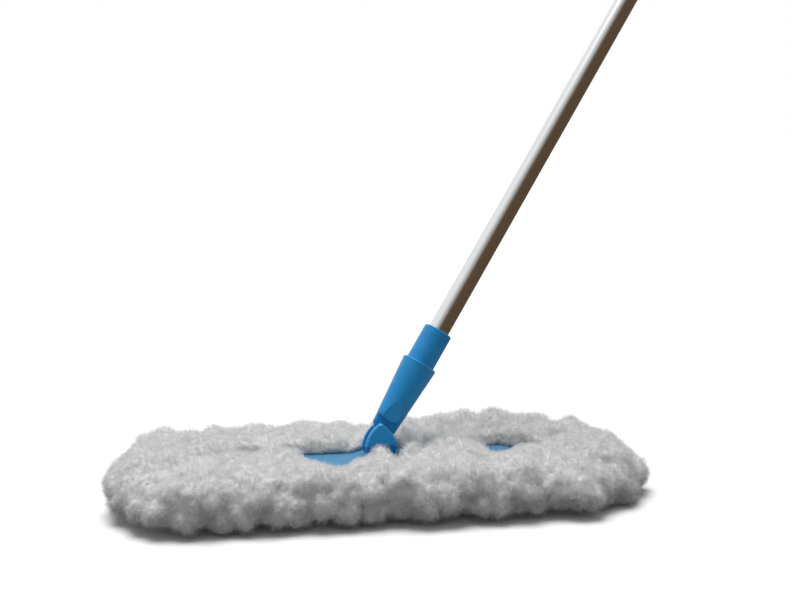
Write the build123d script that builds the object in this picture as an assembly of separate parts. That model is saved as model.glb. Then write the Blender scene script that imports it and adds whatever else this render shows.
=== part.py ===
"""Floor duster: a deep pile sleeve on a stiff board, a two-way knuckle and a metal pole.

Millimetres, +Z up, floor at Z = 0, the long side of the head along X, the front at -Y.
The origin is the floor point under the middle of the knuckle.
"""
from math import cos, radians, sin
import os

from build123d import *

# Pose at rest: the knuckle leans back, the pole leans to the right in it
LEAN_BACK = 14.0
LEAN_RIGHT = 32.0

# Clearances
FREE_GAP = 0.3
SOFT_GAP = 0.4
RUN_FIT = 0.05
SEAT_FIT = 0.02

# Pile sleeve
HEAD_LENGTH = 588.0
HEAD_DEPTH = 220.0
HEAD_HEIGHT = 59.0
HEAD_CORNER = 80.0
PILE_UNDER_BOARD = 36.5
SOLE_ROUND = 28.0
CROWN_ROUND = 20.0
VALLEY_DEEP_RADIUS = 48.0
VALLEY_END_RADIUS = 27.0
VALLEY_HALF_LENGTH = 255.0
VALLEY_AXIS_Z = 90.0
SLIT_HALF_LENGTH = 175.0
SLIT_HALF_WIDTH = 24.0
HEM_WIDTH = 9.0
HEM_THICK = 2.4

# Board inside the sleeve
BOARD_LENGTH = 510.0
BOARD_DEPTH = 110.0
BOARD_CORNER = 45.0
BOARD_HEIGHT = 9.5
BOARD_SKIN = 2.8
BOARD_EDGE = 1.6
RIB_THICK = 2.2
RIB_LONG_OFFSET = 22.0
RIB_CROSS_COUNT = 5
RIB_CROSS_PITCH = 92.0

# Hinge block let into the board
FLANGE_LENGTH = 44.0
FLANGE_DEPTH = 44.0
FLANGE_CORNER = 6.0
FLANGE_THICK = 3.5
SEAT_FLOOR = 2.2
LUG_HALF_WIDTH = 7.5
LUG_RADIUS = 6.0
SCREW_X = 16.0
SCREW_Y = 15.0
SCREW_RADIUS = 1.95
SCREW_HEAD_RADIUS = 3.8
SCREW_HEAD_HEIGHT = 2.0
SCREW_LENGTH = 8.6
BOSS_RADIUS = 4.2

# Yoke: legs astride the lug below, ears astride the tongue above
TILT_HEIGHT = 7.0
PIN_SPACING = 17.0
TILT_PIN_RADIUS = 2.5
TILT_WASHER_RADIUS = 5.6
TILT_WASHER_THICK = 1.2
LEG_THICK = 10.8
LEG_RADIUS = 6.5
LEG_DRAW_IN = 2.6
PIN_SEAT_WALL = 5.4
NOTCH_TOP = 4.0
NOTCH_ROUND = 2.0
YOKE_HALF_DEPTH = 12.8
TILT_LIMIT = 45.0
CHEEK_ROUND = 8.0
WEB_DROP = 7.8
WEB_FLAT_HALF = 3.0
WEB_SIDE_DROP = 5.4
EAR_RISE = 13.8
EAR_TIP_HALF = 3.6
EAR_MID_X = 17.0
EAR_MID_DROP = 4.0
EAR_WIDE_DROP = 14.0
EAR_TAPER = 2.8
EAR_BEVEL = 1.8
PIN_HEAD_RADIUS = 4.6
PIN_HEAD_HEIGHT = 1.6
PIN_HEAD_BEVEL = 0.7
CAP_HEIGHT = 2.6
CAP_SKIN = 0.8

# Swing pin and tongue
SWING_PIN_RADIUS = 3.0
SWING_HEAD_RADIUS = 5.5
BLIND_WALL = 3.0
TONGUE_HALF_THICK = 4.8
TONGUE_END_RADIUS = 7.5
TONGUE_EDGE_ROUND = 2.4
SWING_WASHER_RADIUS = 7.0
SWING_WASHER_THICK = 1.0

# Pole socket, distances measured up the pole from the swing pin
SOCKET_FOOT = 16.0
SOCKET_TOP = 89.0
SOCKET_FOOT_RADIUS = 14.6
SOCKET_TOP_RADIUS = 20.0
SOCKET_RIM_BEVEL = 1.0
SOCKET_FOOT_ROUND = 7.0
TONGUE_CORNER_X = 13.9
TONGUE_CORNER_RISE = 8.5
FLAT_TOP = 41.0
FLAT_FOOT_Y = 10.8
SOCKET_FLOOR = 46.0

# Ferrule on the pole's foot
FERRULE_RADIUS = 16.3
FERRULE_LENGTH = 42.0
FERRULE_BEVEL = 1.0
SPIGOT_RADIUS = 14.2
SPIGOT_LENGTH = 39.0
SPIGOT_FLOOR = 6.0
FIX_SCREW_RISE = 22.0
FIX_SCREW_RADIUS = 1.7
FIX_SCREW_REACH = 3.0
FIX_HEAD_RADIUS = 3.2
FIX_HEAD_HEIGHT = 2.0

# Pole, grip and hanging cap
POLE_RADIUS = 11.75
POLE_WALL = 1.2
POLE_LENGTH = 1400.0
GRIP_LENGTH = 130.0
GRIP_END_RADIUS = 15.0
GRIP_WAIST_RADIUS = 13.8
GRIP_LIP = 6.0
PLUG_LENGTH = 25.0
CAP_FLANGE_RADIUS = 15.0
CAP_FLANGE_THICK = 3.0
EYE_RADIUS = 14.0
EYE_HOLE_RADIUS = 6.0
EYE_HALF_THICK = 4.0

# Heights and places that follow from the sizes above
BOARD_TOP = PILE_UNDER_BOARD + BOARD_HEIGHT
TILT_Z = BOARD_TOP + TILT_HEIGHT
LEG_INNER = LUG_HALF_WIDTH + TILT_WASHER_THICK + FREE_GAP
LEG_OUTER = LEG_INNER + LEG_THICK
PIN_SEAT = LEG_INNER + PIN_SEAT_WALL
WEB_TOP = PIN_SPACING - WEB_DROP
EAR_INNER = TONGUE_HALF_THICK + SWING_WASHER_THICK + FREE_GAP
FERRULE_TOP = SOCKET_TOP + FERRULE_LENGTH
POLE_FOOT = SOCKET_TOP - SPIGOT_LENGTH + SPIGOT_FLOOR
POLE_TOP = POLE_FOOT + POLE_LENGTH
EYE_RISE = POLE_TOP + CAP_FLANGE_THICK + EYE_RADIUS

YOKE_PLACE = Pos(0, 0, TILT_Z) * Rot(-LEAN_BACK, 0, 0)
POLE_PLACE = YOKE_PLACE * Pos(0, 0, PIN_SPACING) * Rot(0, LEAN_RIGHT, 0)


def rod_x(radius, x_low, x_high):
    """Round bar along X."""
    return Pos((x_low + x_high) / 2, 0, 0) * Rot(0, 90, 0) * Cylinder(radius, x_high - x_low)


def rod_y(radius, y_low, y_high):
    """Round bar along Y."""
    return Pos(0, (y_low + y_high) / 2, 0) * Rot(90, 0, 0) * Cylinder(radius, y_high - y_low)


def rod_z(radius, z_low, z_high):
    """Round bar along Z."""
    return Pos(0, 0, (z_low + z_high) / 2) * Cylinder(radius, z_high - z_low)


def block(x_size, y_low, y_high, z_low, z_high):
    """Box centred on X = 0 between the given limits."""
    centre = Pos(0, (y_low + y_high) / 2, (z_low + z_high) / 2)
    return centre * Box(x_size, y_high - y_low, z_high - z_low)


def turned(points):
    """Solid of revolution about Z from points given as radius and height."""
    return revolve(Plane.XZ * make_face(Polyline(points, close=True)), Axis.Z)


def lens(half_length, half_width):
    """Flat shape between two shallow arcs that meet at both ends."""
    left, right = (-half_length, 0), (half_length, 0)
    near = ThreePointArc(left, (0, -half_width), right)
    far = ThreePointArc(right, (0, half_width), left)
    return make_face([near, far])


def board_outline(grow=0.0):
    """Plan of the board, grown all round by the given amount."""
    return RectangleRounded(BOARD_LENGTH + 2 * grow, BOARD_DEPTH + 2 * grow, BOARD_CORNER + grow)


def flange_outline(grow=0.0):
    """Plan of the hinge block's flange."""
    return RectangleRounded(FLANGE_LENGTH + 2 * grow, FLANGE_DEPTH + 2 * grow, FLANGE_CORNER + grow)


def screw_places():
    """The four screws of the hinge block, driven upwards at the board's underside."""
    corners = [(x, y) for x in (-SCREW_X, SCREW_X) for y in (-SCREW_Y, SCREW_Y)]
    return [Pos(x, y, PILE_UNDER_BOARD) * Rot(180, 0, 0) for x, y in corners]


def screw_shape(grow=0.0):
    """Countersunk screw with its head's top at Z = 0."""
    shank = SCREW_RADIUS + grow
    head = SCREW_HEAD_RADIUS + grow
    foot = -SCREW_LENGTH - grow
    return turned([(0, 0), (head, 0), (shank, -SCREW_HEAD_HEIGHT - grow), (shank, foot), (0, foot)])


def board_ribs(height):
    """Lengthwise and cross ribs under the board, and the bosses round the screws."""
    ribs = []
    for side in (-1, 1):
        ribs.append(Pos(0, side * RIB_LONG_OFFSET, height / 2) * Box(BOARD_LENGTH, RIB_THICK, height))
    for index in range(RIB_CROSS_COUNT):
        x = (index - (RIB_CROSS_COUNT - 1) / 2) * RIB_CROSS_PITCH
        ribs.append(Pos(x, 0, height / 2) * Box(RIB_THICK, BOARD_DEPTH, height))
    for place in screw_places():
        x, y = place.position.X, place.position.Y
        ribs.append(Pos(x, y, height / 2) * Cylinder(BOSS_RADIUS, height))
    return ribs


def frame_board():
    """Ribbed board that carries the sleeve, with a sunk seat for the hinge block."""
    base = Pos(0, 0, PILE_UNDER_BOARD)
    body = extrude(board_outline(), BOARD_HEIGHT)
    body = chamfer(body.edges().group_by(Axis.Z)[-1], BOARD_EDGE)
    room = BOARD_HEIGHT - BOARD_SKIN
    hollow = extrude(board_outline(-BOARD_SKIN), room)
    seat_top = BOARD_HEIGHT - FLANGE_THICK
    tub = Pos(0, 0, seat_top - SEAT_FLOOR) * extrude(flange_outline(SEAT_FLOOR), FLANGE_THICK)
    hollow -= [rib for rib in board_ribs(room)]
    hollow -= tub
    body -= hollow
    body -= Pos(0, 0, seat_top) * extrude(flange_outline(FREE_GAP), FLANGE_THICK)
    body = base * body
    return body - [place * screw_shape(SEAT_FIT) for place in screw_places()]


def hinge_block():
    """Flange with one upright lug that carries the tilt pin."""
    flange = Pos(0, 0, BOARD_TOP - FLANGE_THICK) * extrude(flange_outline(), FLANGE_THICK)
    stem = block(2 * LUG_HALF_WIDTH, -LUG_RADIUS, LUG_RADIUS, BOARD_TOP - FLANGE_THICK, TILT_Z)
    lug = Pos(0, 0, TILT_Z) * rod_x(LUG_RADIUS, -LUG_HALF_WIDTH, LUG_HALF_WIDTH)
    bore = Pos(0, 0, TILT_Z) * rod_x(TILT_PIN_RADIUS + RUN_FIT, -LUG_HALF_WIDTH, LUG_HALF_WIDTH)
    body = flange + stem + lug - bore
    return body - [place * screw_shape(SEAT_FIT) for place in screw_places()]


def bracket_screws():
    """Four countersunk screws that hold the hinge block to the board."""
    return Compound(children=[place * screw_shape() for place in screw_places()])


def tilt_washers():
    """Two friction washers between the lug and the yoke's legs."""
    outer = LUG_HALF_WIDTH + TILT_WASHER_THICK
    rings = []
    for side in (-1, 1):
        low, high = sorted((side * LUG_HALF_WIDTH, side * outer))
        ring = rod_x(TILT_WASHER_RADIUS, low, high) - rod_x(TILT_PIN_RADIUS + RUN_FIT, low, high)
        rings.append(Pos(0, 0, TILT_Z) * ring)
    return Compound(children=rings)


def tilt_pin():
    """Round pin through both legs and the lug, headed at its right end."""
    shank = rod_x(TILT_PIN_RADIUS, -PIN_SEAT - CAP_HEIGHT + CAP_SKIN, PIN_SEAT)
    head = rod_x(PIN_HEAD_RADIUS, PIN_SEAT, PIN_SEAT + PIN_HEAD_HEIGHT)
    head = chamfer(head.edges().sort_by(Axis.X)[-1], PIN_HEAD_BEVEL)
    return YOKE_PLACE * (shank + head)


def tilt_pin_cap():
    """Push-on cap over the tilt pin's left end."""
    low = -PIN_SEAT - CAP_HEIGHT
    cap = rod_x(PIN_HEAD_RADIUS, low, -PIN_SEAT)
    cap = chamfer(cap.edges().sort_by(Axis.X)[0], PIN_HEAD_BEVEL)
    return YOKE_PLACE * (cap - rod_x(TILT_PIN_RADIUS + SEAT_FIT, low + CAP_SKIN, -PIN_SEAT))


def ear_outline(depth, inset):
    """Yoke's front view at one depth: legs that draw in below, a pointed arch with a round tip above."""
    tip_z = PIN_SPACING + EAR_RISE - inset
    wide = LEG_OUTER - inset
    tip_side = tip_z - EAR_TIP_HALF / 2
    right = [(wide, PIN_SPACING - EAR_WIDE_DROP), (EAR_MID_X - inset, PIN_SPACING - EAR_MID_DROP),
             (EAR_TIP_HALF, tip_side)]
    left = [(-x, z) for x, z in reversed(right)]
    feet = [(-wide + LEG_DRAW_IN, -LEG_RADIUS), (wide - LEG_DRAW_IN, -LEG_RADIUS)]
    edges = [
        Line(*feet),
        Line(feet[1], right[0]),
        ThreePointArc(*right),
        ThreePointArc(right[2], (0, tip_z), left[0]),
        ThreePointArc(*left),
        Line(left[2], feet[0]),
    ]
    return Pos(0, depth, 0) * (Plane.XZ * make_face(edges))


def yoke_side():
    """Yoke's side view: feet round the tilt pin, under cheeks that lie level at the limits of the tilt."""
    top = PIN_SPACING + EAR_RISE + EAR_BEVEL
    across, down = sin(radians(TILT_LIMIT)), cos(radians(TILT_LIMIT))
    foot_y, foot_z = LEG_RADIUS * across, -LEG_RADIUS * down
    cheek_z = foot_z + (YOKE_HALF_DEPTH - foot_y) * across / down
    cheeks = make_face(Polyline(
        (-foot_y, foot_z), (foot_y, foot_z), (YOKE_HALF_DEPTH, cheek_z),
        (YOKE_HALF_DEPTH, top), (-YOKE_HALF_DEPTH, top), (-YOKE_HALF_DEPTH, cheek_z), close=True))
    cheeks = fillet(cheeks.vertices().group_by(Axis.Y)[1], CHEEK_ROUND)
    return Plane.YZ * (Circle(LEG_RADIUS) + cheeks)


def tongue_slot():
    """Front view of the gap between the ears, whose floor falls away to both sides."""
    low = WEB_TOP - WEB_SIDE_DROP
    top = PIN_SPACING + 2 * EAR_RISE
    return Plane.XZ * make_face(Polyline(
        (-LEG_OUTER, low), (-WEB_FLAT_HALF, WEB_TOP), (WEB_FLAT_HALF, WEB_TOP), (LEG_OUTER, low),
        (LEG_OUTER, top), (-LEG_OUTER, top), close=True))


def swivel_yoke():
    """Knuckle with two legs astride the lug and, a quarter turn round, two ears astride the tongue."""
    shoulder = YOKE_HALF_DEPTH - EAR_BEVEL
    body = loft([
        ear_outline(YOKE_HALF_DEPTH, EAR_BEVEL), ear_outline(shoulder, 0),
        ear_outline(-shoulder, EAR_TAPER), ear_outline(-YOKE_HALF_DEPTH, EAR_TAPER + EAR_BEVEL)], ruled=True)
    body = body & extrude(yoke_side(), LEG_OUTER, both=True)
    body -= extrude(tongue_slot(), EAR_INNER, both=True)
    notch = Pos(0, 0, NOTCH_TOP - LEG_OUTER / 2) * Box(2 * LEG_INNER, 4 * LEG_OUTER, LEG_OUTER)
    notch = fillet(notch.edges().filter_by(Axis.Y).group_by(Axis.Z)[-1], NOTCH_ROUND)
    body -= notch
    body -= rod_x(LUG_RADIUS + FREE_GAP, -LEG_INNER, LEG_INNER)
    body -= rod_x(TILT_PIN_RADIUS + SEAT_FIT, -LEG_OUTER, LEG_OUTER)
    for low, high in ((-LEG_OUTER, -PIN_SEAT), (PIN_SEAT, LEG_OUTER)):
        body -= rod_x(PIN_HEAD_RADIUS + FREE_GAP, low, high)
    blind = -YOKE_HALF_DEPTH + BLIND_WALL
    body -= Pos(0, 0, PIN_SPACING) * rod_y(SWING_PIN_RADIUS + SEAT_FIT, blind, YOKE_HALF_DEPTH)
    return YOKE_PLACE * body


def swing_pin():
    """Round pin through the rear ear and the tongue into a blind hole in the front ear."""
    shank = rod_y(SWING_PIN_RADIUS, -YOKE_HALF_DEPTH + BLIND_WALL, YOKE_HALF_DEPTH)
    head = rod_y(SWING_HEAD_RADIUS, YOKE_HALF_DEPTH, YOKE_HALF_DEPTH + PIN_HEAD_HEIGHT)
    head = chamfer(head.edges().sort_by(Axis.Y)[-1], PIN_HEAD_BEVEL)
    return YOKE_PLACE * Pos(0, 0, PIN_SPACING) * (shank + head)


def swing_washers():
    """Two friction washers between the tongue and the ears."""
    outer = TONGUE_HALF_THICK + SWING_WASHER_THICK
    rings = []
    for side in (-1, 1):
        low, high = sorted((side * TONGUE_HALF_THICK, side * outer))
        ring = rod_y(SWING_WASHER_RADIUS, low, high) - rod_y(SWING_PIN_RADIUS + RUN_FIT, low, high)
        rings.append(POLE_PLACE * ring)
    return Compound(children=rings)


def tongue():
    """Flat tongue that widens from the swing pin to the full width of the socket's foot."""
    root = SOCKET_FOOT + SOCKET_FOOT_ROUND
    sides = make_face(Polyline(
        (-TONGUE_END_RADIUS, 0), (TONGUE_END_RADIUS, 0), (TONGUE_CORNER_X, TONGUE_CORNER_RISE),
        (SOCKET_FOOT_RADIUS, root), (-SOCKET_FOOT_RADIUS, root),
        (-TONGUE_CORNER_X, TONGUE_CORNER_RISE), close=True))
    plate = extrude(Plane.XZ * sides, TONGUE_HALF_THICK, both=True)
    faces = plate.edges().group_by(Axis.Y)
    rims = [edge for edge in faces[0] + faces[-1] if 0 < edge.center().Z < root]
    return fillet(rims, TONGUE_EDGE_ROUND) + rod_y(TONGUE_END_RADIUS, -TONGUE_HALF_THICK, TONGUE_HALF_THICK)


def flat_cut(side):
    """Wedge that planes one slanting flat on the socket's foot."""
    slope = (SOCKET_TOP_RADIUS - SOCKET_FOOT_RADIUS) / (SOCKET_TOP - SOCKET_FOOT)
    top_y = SOCKET_FOOT_RADIUS + slope * (FLAT_TOP - SOCKET_FOOT)
    away = 2 * SOCKET_TOP_RADIUS
    wedge = make_face(Polyline(
        (side * FLAT_FOOT_Y, SOCKET_FOOT), (side * top_y, FLAT_TOP),
        (side * away, FLAT_TOP), (side * away, SOCKET_FOOT), close=True))
    return extrude(Plane.YZ * wedge, SOCKET_TOP_RADIUS, both=True)


def pole_socket():
    """Tapered socket with a rounded foot and two flats, a tongue below and a round well above."""
    cone = turned([(0, SOCKET_FOOT), (SOCKET_FOOT_RADIUS, SOCKET_FOOT),
                   (SOCKET_TOP_RADIUS, SOCKET_TOP), (0, SOCKET_TOP)])
    cone = chamfer(cone.edges().group_by(Axis.Z)[-1], SOCKET_RIM_BEVEL)
    cone = fillet(cone.edges().group_by(Axis.Z)[0], SOCKET_FOOT_ROUND)
    body = cone - flat_cut(-1) - flat_cut(1) + tongue()
    body -= rod_z(SPIGOT_RADIUS + FREE_GAP, SOCKET_FLOOR, SOCKET_TOP)
    body -= rod_y(SWING_PIN_RADIUS + RUN_FIT, -TONGUE_HALF_THICK, TONGUE_HALF_THICK)
    return POLE_PLACE * body


def fix_screw_shape(grow=0.0):
    """Pan-headed screw through the back of the ferrule into the pole."""
    inner = POLE_RADIUS - POLE_WALL - FIX_SCREW_REACH
    shank = rod_y(FIX_SCREW_RADIUS + grow, inner, FERRULE_RADIUS)
    return Pos(0, 0, SOCKET_TOP + FIX_SCREW_RISE) * shank


def pole_ferrule():
    """Collar on the pole's foot with a spigot that turns down into the socket."""
    spigot_foot = SOCKET_TOP - SPIGOT_LENGTH
    collar = rod_z(FERRULE_RADIUS, SOCKET_TOP, FERRULE_TOP)
    collar = chamfer(collar.edges().group_by(Axis.Z)[-1], FERRULE_BEVEL)
    body = collar + rod_z(SPIGOT_RADIUS, spigot_foot, SOCKET_TOP)
    body -= rod_z(POLE_RADIUS + RUN_FIT, POLE_FOOT, FERRULE_TOP)
    return POLE_PLACE * (body - fix_screw_shape(SEAT_FIT))


def ferrule_screw():
    """Small screw that keeps the ferrule on the pole."""
    place = Pos(0, 0, SOCKET_TOP + FIX_SCREW_RISE)
    head = rod_y(FIX_HEAD_RADIUS, FERRULE_RADIUS, FERRULE_RADIUS + FIX_HEAD_HEIGHT)
    head = chamfer(head.edges().sort_by(Axis.Y)[-1], PIN_HEAD_BEVEL)
    return POLE_PLACE * (fix_screw_shape() + place * head)


def pole_tube():
    """Drawn tube, open at both ends."""
    tube = rod_z(POLE_RADIUS, POLE_FOOT, POLE_TOP) - rod_z(POLE_RADIUS - POLE_WALL, POLE_FOOT, POLE_TOP)
    return POLE_PLACE * (tube - fix_screw_shape(SEAT_FIT))


def hand_grip():
    """Sleeve at the pole's top, waisted between two lips."""
    foot = POLE_TOP - GRIP_LENGTH
    inner = POLE_RADIUS + RUN_FIT
    section = turned([
        (inner, foot), (GRIP_WAIST_RADIUS, foot), (GRIP_END_RADIUS, foot + GRIP_LIP),
        (GRIP_WAIST_RADIUS, foot + 2 * GRIP_LIP), (GRIP_WAIST_RADIUS, POLE_TOP - 2 * GRIP_LIP),
        (GRIP_END_RADIUS, POLE_TOP - GRIP_LIP), (GRIP_END_RADIUS, POLE_TOP), (inner, POLE_TOP)])
    return POLE_PLACE * section


def hanging_cap():
    """End cap: a plug in the tube, a flange over its rim and a flat eye for a hook."""
    flange_top = POLE_TOP + CAP_FLANGE_THICK
    plug = rod_z(POLE_RADIUS - POLE_WALL - RUN_FIT, POLE_TOP - PLUG_LENGTH, POLE_TOP)
    flange = rod_z(CAP_FLANGE_RADIUS, POLE_TOP, flange_top)
    tab = Pos(0, 0, EYE_RISE) * rod_y(EYE_RADIUS, -EYE_HALF_THICK, EYE_HALF_THICK)
    tab += block(2 * EYE_RADIUS, -EYE_HALF_THICK, EYE_HALF_THICK, flange_top, EYE_RISE)
    hole = Pos(0, 0, EYE_RISE) * rod_y(EYE_HOLE_RADIUS, -EYE_HALF_THICK, EYE_HALF_THICK)
    return POLE_PLACE * (plug + flange + tab - hole)


def head_outline():
    """Plan of the pile sleeve."""
    return RectangleRounded(HEAD_LENGTH, HEAD_DEPTH, HEAD_CORNER)


def sole_panel():
    """Lower panel of the sleeve: pile from the floor up to the board's underside."""
    body = extrude(head_outline(), PILE_UNDER_BOARD)
    return fillet(body.edges().group_by(Axis.Z)[0], SOLE_ROUND)


def valley():
    """Long hollow between the two flaps, deepest at the knuckle and gone near both ends."""
    ends = [(-VALLEY_HALF_LENGTH, VALLEY_END_RADIUS), (VALLEY_HALF_LENGTH, VALLEY_END_RADIUS)]
    edges = [
        ThreePointArc(ends[0], (0, VALLEY_DEEP_RADIUS), ends[1]),
        Line(ends[1], (VALLEY_HALF_LENGTH, 0)),
        Line((VALLEY_HALF_LENGTH, 0), (-VALLEY_HALF_LENGTH, 0)),
        Line((-VALLEY_HALF_LENGTH, 0), ends[0]),
    ]
    return Pos(0, 0, VALLEY_AXIS_Z) * revolve(make_face(edges), Axis.X)


def both_flaps():
    """Upper half of the sleeve round the board, before it is parted along the slit."""
    flap_floor = BOARD_TOP + FREE_GAP
    body = Pos(0, 0, PILE_UNDER_BOARD) * extrude(head_outline(), HEAD_HEIGHT - PILE_UNDER_BOARD)
    body = fillet(body.edges().group_by(Axis.Z)[-1], CROWN_ROUND)
    body -= Pos(0, 0, PILE_UNDER_BOARD) * extrude(board_outline(SOFT_GAP), flap_floor - PILE_UNDER_BOARD)
    body -= valley()
    body -= Pos(0, 0, flap_floor) * extrude(lens(SLIT_HALF_LENGTH, SLIT_HALF_WIDTH), HEAD_HEIGHT)
    hem_room = lens(SLIT_HALF_LENGTH + HEM_WIDTH + SOFT_GAP, SLIT_HALF_WIDTH + HEM_WIDTH + SOFT_GAP)
    return body - Pos(0, 0, flap_floor) * extrude(hem_room, HEM_THICK + SOFT_GAP)


def half_space(side):
    """Everything on one side of the slit line."""
    low, high = sorted((side * FREE_GAP, side * HEAD_DEPTH))
    return block(2 * HEAD_LENGTH, low, high, 0, 2 * HEAD_HEIGHT)


def both_hems():
    """Tape round the slit, lying on the board under the flaps' inner edges."""
    outer = lens(SLIT_HALF_LENGTH + HEM_WIDTH, SLIT_HALF_WIDTH + HEM_WIDTH)
    ring = outer - lens(SLIT_HALF_LENGTH, SLIT_HALF_WIDTH)
    return Pos(0, 0, BOARD_TOP + FREE_GAP) * extrude(ring, HEM_THICK)


def all_nodes():
    """Every piece by its name."""
    flaps = both_flaps()
    hems = both_hems()
    return {
        "sole_panel": sole_panel(),
        "frame_board": frame_board(),
        "hinge_block": hinge_block(),
        "bracket_screws": bracket_screws(),
        "front_flap": flaps & half_space(-1),
        "rear_flap": flaps & half_space(1),
        "front_hem": hems & half_space(-1),
        "rear_hem": hems & half_space(1),
        "tilt_washers": tilt_washers(),
        "tilt_pin": tilt_pin(),
        "tilt_pin_cap": tilt_pin_cap(),
        "swivel_yoke": swivel_yoke(),
        "swing_pin": swing_pin(),
        "swing_washers": swing_washers(),
        "pole_socket": pole_socket(),
        "pole_ferrule": pole_ferrule(),
        "ferrule_screw": ferrule_screw(),
        "pole_tube": pole_tube(),
        "hand_grip": hand_grip(),
        "hanging_cap": hanging_cap(),
    }


os.makedirs("parts", exist_ok=True)
for name, shape in all_nodes().items():
    export_step(shape, f"parts/{name}.step")
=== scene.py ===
from math import cos, pi, radians, sin
import random

import bmesh
import bpy
import numpy as np
from mathutils import Matrix, Vector


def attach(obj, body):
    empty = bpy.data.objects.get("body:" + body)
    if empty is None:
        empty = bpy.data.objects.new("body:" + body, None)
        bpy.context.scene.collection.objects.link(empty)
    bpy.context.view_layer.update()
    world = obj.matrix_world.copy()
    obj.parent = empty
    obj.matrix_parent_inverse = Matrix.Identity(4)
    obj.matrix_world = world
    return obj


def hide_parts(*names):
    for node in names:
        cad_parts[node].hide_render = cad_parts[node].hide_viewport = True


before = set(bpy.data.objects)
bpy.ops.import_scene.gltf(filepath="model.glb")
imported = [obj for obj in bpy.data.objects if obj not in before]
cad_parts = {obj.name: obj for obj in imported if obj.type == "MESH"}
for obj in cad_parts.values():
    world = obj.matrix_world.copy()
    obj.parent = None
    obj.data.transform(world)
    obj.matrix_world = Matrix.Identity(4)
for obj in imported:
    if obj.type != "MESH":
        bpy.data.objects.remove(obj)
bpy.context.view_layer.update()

# Swivel yoke and its pin cap, pole socket, ferrule, grip and hanging cap.
# Injection moulded polypropylene, dyed blue through and through. The pieces are screwed,
# pinned or pushed together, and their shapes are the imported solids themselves.
BLUE_PIECES = ("swivel_yoke", "tilt_pin_cap", "pole_socket", "pole_ferrule", "hand_grip", "hanging_cap")


def linear(code):
    """Linear colour of an sRGB hex code."""
    parts = [int(code[i:i + 2], 16) / 255 for i in (1, 3, 5)]
    return (*[c / 12.92 if c < 0.04045 else ((c + 0.055) / 1.055) ** 2.4 for c in parts], 1.0)


def add_node(tree, kind, inputs=None, **settings):
    """A node with its settings, its values and the links into it."""
    node = tree.nodes.new(kind)
    for name, value in settings.items():
        setattr(node, name, value)
    for key, value in (inputs or {}).items():
        if isinstance(value, bpy.types.NodeSocket):
            tree.links.new(value, node.inputs[key])
        else:
            node.inputs[key].default_value = value
    return node


def start_material(name):
    """An empty material with a shader wired to its output."""
    material = bpy.data.materials.new(name)
    material.use_nodes = True
    tree = material.node_tree
    tree.nodes.clear()
    shader = add_node(tree, "ShaderNodeBsdfPrincipled")
    add_node(tree, "ShaderNodeOutputMaterial", {"Surface": shader.outputs["BSDF"]})
    return material, tree, shader


def finish_nodes(material, nodes):
    """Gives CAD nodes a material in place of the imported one."""
    for name in nodes:
        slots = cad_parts[name].data.materials
        slots.clear()
        slots.append(material)


# Moulded polypropylene: waxy satin, soft wide highlights, faint cloudy flow marks 30 mm long
# and a spark-eroded grain. The grain is 0.3 mm on the real piece and drawn at 0.9 mm to show.
FLOW_MARK = 0.030
MOULD_GRAIN = 0.0009
blue_plastic, tree, shader = start_material("moulded polypropylene blue")
place = add_node(tree, "ShaderNodeTexCoord").outputs["Object"]
flow = add_node(tree, "ShaderNodeTexNoise", {"Vector": place, "Scale": 1 / FLOW_MARK, "Detail": 3.0})
grain = add_node(tree, "ShaderNodeTexNoise", {"Vector": place, "Scale": 1 / MOULD_GRAIN, "Detail": 2.0})
tone = add_node(tree, "ShaderNodeValToRGB", {"Fac": flow.outputs["Fac"]})
tone.color_ramp.elements[0].position = 0.3
tone.color_ramp.elements[0].color = linear("#0C8BCD")
tone.color_ramp.elements[1].position = 0.7
tone.color_ramp.elements[1].color = linear("#1295D7")
gloss = add_node(tree, "ShaderNodeMapRange", {
    "Value": flow.outputs["Fac"], "From Min": 0.3, "From Max": 0.7, "To Min": 0.40, "To Max": 0.50})
bump = add_node(tree, "ShaderNodeBump", {
    "Height": grain.outputs["Fac"], "Strength": 0.12, "Distance": 0.0002})
tree.links.new(tone.outputs["Color"], shader.inputs["Base Color"])
tree.links.new(gloss.outputs["Result"], shader.inputs["Roughness"])
tree.links.new(bump.outputs["Normal"], shader.inputs["Normal"])
shader.inputs["IOR"].default_value = 1.49
finish_nodes(blue_plastic, BLUE_PIECES)

# Board in the sleeve and the hinge block screwed to it, moulded of the same plastic.
# The yarn has rubbed both dull, with short scuffs along the slit; their darker, greyer blue is painted shade
# of the pile.
SCUFF_LENGTH = 0.020
SCUFF_WIDTH = 0.0014
scuffed_and_shaded, tree, shader = start_material("scuffed polypropylene blue")
place = add_node(tree, "ShaderNodeTexCoord").outputs["Object"]
flow = add_node(tree, "ShaderNodeTexNoise", {"Vector": place, "Scale": 1 / FLOW_MARK, "Detail": 3.0})
rubbed = add_node(tree, "ShaderNodeMapping", {
    "Vector": place, "Scale": (1 / SCUFF_LENGTH, 1 / SCUFF_WIDTH, 1 / SCUFF_LENGTH)})
scuffs = add_node(tree, "ShaderNodeTexNoise", {
    "Vector": rubbed.outputs["Vector"], "Scale": 1.0, "Detail": 3.0})
worn = add_node(tree, "ShaderNodeMix", {"Factor": 0.6, 2: flow.outputs["Fac"], 3: scuffs.outputs["Fac"]})
# Painted shade: both tones are darker and greyer than the other blue pieces, as if the pile shaded the board.
tone = add_node(tree, "ShaderNodeValToRGB", {"Fac": worn.outputs[0]})
tone.color_ramp.elements[0].position = 0.35
tone.color_ramp.elements[0].color = linear("#397CA5")
tone.color_ramp.elements[1].position = 0.65
tone.color_ramp.elements[1].color = linear("#4788AE")
gloss = add_node(tree, "ShaderNodeMapRange", {
    "Value": worn.outputs[0], "From Min": 0.35, "From Max": 0.65, "To Min": 0.50, "To Max": 0.62})
tree.links.new(tone.outputs["Color"], shader.inputs["Base Color"])
tree.links.new(gloss.outputs["Result"], shader.inputs["Roughness"])
shader.inputs["IOR"].default_value = 1.49
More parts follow.
